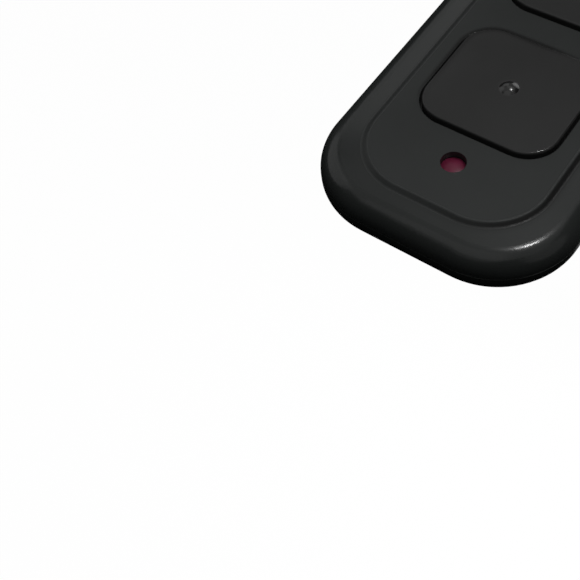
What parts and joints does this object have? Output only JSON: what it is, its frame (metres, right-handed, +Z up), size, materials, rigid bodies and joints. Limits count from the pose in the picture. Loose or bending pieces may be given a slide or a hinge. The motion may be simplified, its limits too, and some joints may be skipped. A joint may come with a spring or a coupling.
{
  "type": "remote transmitter",
  "caption": "Slim hand-held radio remote with raised square push buttons, a recessed red indicator and a coin-opened battery cap.",
  "frame": {"origin": "middle of the underside, at the middle of the overall length", "axes": "+Z up from the underside through the buttons, +Y towards the key-ring end, +X to the right of a user who holds the key-ring end away"},
  "size_m": [0.042, 0.085, 0.0094],
  "materials": {
    "casing_plastic": "charcoal, fine satin grain",
    "button_plastic": "charcoal, satin, glossy rounded edges",
    "red_lens": "crimson, clear through",
    "led_package": "white package with clear cap",
    "board_green": "solder mask",
    "copper": "bare copper",
    "chip_black": "moulded epoxy",
    "metal_can": "nickel-plated can",
    "resistor_black": "fired ceramic",
    "capacitor_tan": "fired ceramic",
    "switch_plastic": "moulded nylon",
    "switch_steel": "stainless sheet",
    "tinned_metal": "tinned",
    "cell_steel": "nickel-plated steel",
    "contact_steel": "nickel-plated spring steel",
    "cap_plastic": "charcoal, fine satin grain",
    "seal_rubber": "moulded rubber",
    "screw_steel": "dark zinc"
  },
  "bodies": {
    "casing": {"top_cover": "casing_plastic", "bottom_cover": "casing_plastic", "led_lens": "red_lens", "indicator_led": "led_package", "circuit_board": "board_green", "antenna_trace": "copper", "encoder_chip": "chip_black", "transmitter_chip": "chip_black", "saw_resonator": "metal_can", "crystal": "metal_can", "chip_resistors": "resistor_black", "chip_capacitors": "capacitor_tan", "front_switch_base": "switch_plastic", "rear_switch_base": "switch_plastic", "front_switch_dome": "switch_steel", "rear_switch_dome": "switch_steel", "front_switch_cover": "switch_steel", "rear_switch_cover": "switch_steel", "front_switch_terminals": "tinned_metal", "rear_switch_terminals": "tinned_metal", "coin_cell": "cell_steel", "positive_contact": "contact_steel", "negative_contact": "contact_steel", "case_screws": "screw_steel"},
    "front_button": {"front_button": "button_plastic", "front_switch_plunger": "switch_plastic"},
    "rear_button": {"rear_button": "button_plastic", "rear_switch_plunger": "switch_plastic"},
    "battery_cap": {"battery_cap": "cap_plastic", "cap_seal": "seal_rubber"}
  },
  "joints": [
    {"name": "front_button_press", "type": "slide", "parent": "casing", "child": "front_button", "axis": [0, 0, -1], "range_m": [0, 0.00025], "stiffness_N_per_m": 1500, "springref_m": -0.0003, "deforming": ["front_switch_dome"]},
    {"name": "rear_button_press", "type": "slide", "parent": "casing", "child": "rear_button", "axis": [0, 0, -1], "range_m": [0, 0.00025], "stiffness_N_per_m": 1500, "springref_m": -0.0003, "deforming": ["rear_switch_dome"]},
    {"name": "battery_cap_turn", "type": "hinge", "parent": "casing", "child": "battery_cap", "pos_m": [0, 0.004, 0.001], "axis": [0, 0, 1], "range_deg": [0, 35]}
  ]
}
